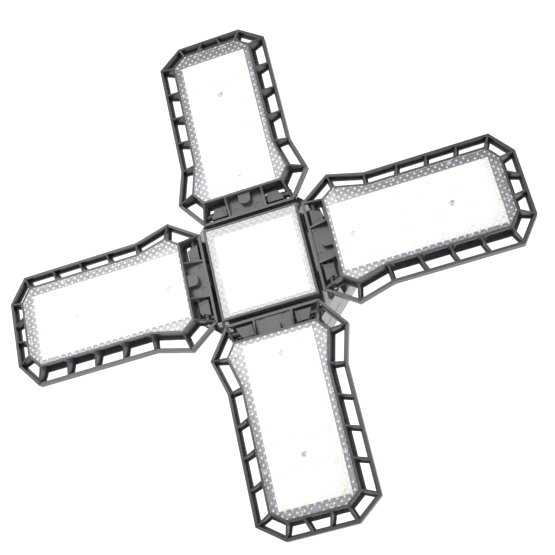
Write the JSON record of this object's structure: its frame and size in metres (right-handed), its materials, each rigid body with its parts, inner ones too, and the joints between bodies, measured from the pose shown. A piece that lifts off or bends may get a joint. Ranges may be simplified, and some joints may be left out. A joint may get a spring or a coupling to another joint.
{
  "type": "deformable garage light",
  "caption": "Ceiling lamp with a screw base, a square lit head and folding trapezoid LED wings on friction hinges.",
  "frame": {"origin": "tip of the screw base's contact button, on the lamp's axis", "axes": "+Z along the lamp's axis, up into the lampholder; +X towards the wing at the picture's right, -Y towards the wing at the picture's top; the light shines towards -Z"},
  "size_m": [0.389, 0.389, 0.1017],
  "materials": {
    "frame_plastic": "satin",
    "housing_plastic": "satin",
    "cast_aluminium": "matte",
    "board_white": "satin",
    "board_green": "satin",
    "led_phosphor": "gloss",
    "resistor_body": "gloss",
    "lens_clear": "gloss",
    "steel": "satin",
    "washer_nylon": "satin",
    "winding_tape": "satin",
    "can_aluminium": "gloss",
    "ferrite": "matte",
    "nickel": "satin",
    "black_glass": "gloss",
    "brass": "satin"
  },
  "bodies": {
    "lamp_body": {"head_frame": "frame_plastic", "head_lens": "lens_clear", "head_heat_sink": "cast_aluminium", "head_led_board": "board_white", "head_leds": "led_phosphor", "head_board_screw": "steel", "head_frame_screws": "steel", "housing": "housing_plastic", "neck_cover": "housing_plastic", "cover_screws": "steel", "driver_board": "board_green", "driver_screws": "steel", "transformer": "winding_tape", "capacitors": "can_aluminium", "choke": "ferrite", "screw_shell": "nickel", "base_insulator": "black_glass", "contact_button": "brass", "right_hinge_pins": "steel", "right_hinge_washers": "washer_nylon", "rear_hinge_pins": "steel", "rear_hinge_washers": "washer_nylon", "left_hinge_pins": "steel", "left_hinge_washers": "washer_nylon", "front_hinge_pins": "steel", "front_hinge_washers": "washer_nylon"},
    "right_wing": {"right_frame": "frame_plastic", "right_heat_sink": "cast_aluminium", "right_led_board": "board_white", "right_leds": "led_phosphor", "right_resistors": "resistor_body", "right_lens": "lens_clear", "right_board_screws": "steel"},
    "rear_wing": {"rear_frame": "frame_plastic", "rear_heat_sink": "cast_aluminium", "rear_led_board": "board_white", "rear_leds": "led_phosphor", "rear_resistors": "resistor_body", "rear_lens": "lens_clear", "rear_board_screws": "steel"},
    "left_wing": {"left_frame": "frame_plastic", "left_heat_sink": "cast_aluminium", "left_led_board": "board_white", "left_leds": "led_phosphor", "left_resistors": "resistor_body", "left_lens": "lens_clear", "left_board_screws": "steel"},
    "front_wing": {"front_frame": "frame_plastic", "front_heat_sink": "cast_aluminium", "front_led_board": "board_white", "front_leds": "led_phosphor", "front_resistors": "resistor_body", "front_lens": "lens_clear", "front_board_screws": "steel"}
  },
  "joints": [
    {"name": "right_hinge", "type": "hinge", "parent": "lamp_body", "child": "right_wing", "pos_m": [0.047, 0, -0.0915], "axis": [0, 1, 0], "range_deg": [-20, 45]},
    {"name": "rear_hinge", "type": "hinge", "parent": "lamp_body", "child": "rear_wing", "pos_m": [0, 0.047, -0.0915], "axis": [-1, 0, 0], "range_deg": [-20, 45]},
    {"name": "left_hinge", "type": "hinge", "parent": "lamp_body", "child": "left_wing", "pos_m": [-0.047, 0, -0.0915], "axis": [0, -1, 0], "range_deg": [-20, 45]},
    {"name": "front_hinge", "type": "hinge", "parent": "lamp_body", "child": "front_wing", "pos_m": [0, -0.047, -0.0915], "axis": [1, 0, 0], "range_deg": [-20, 45]}
  ]
}
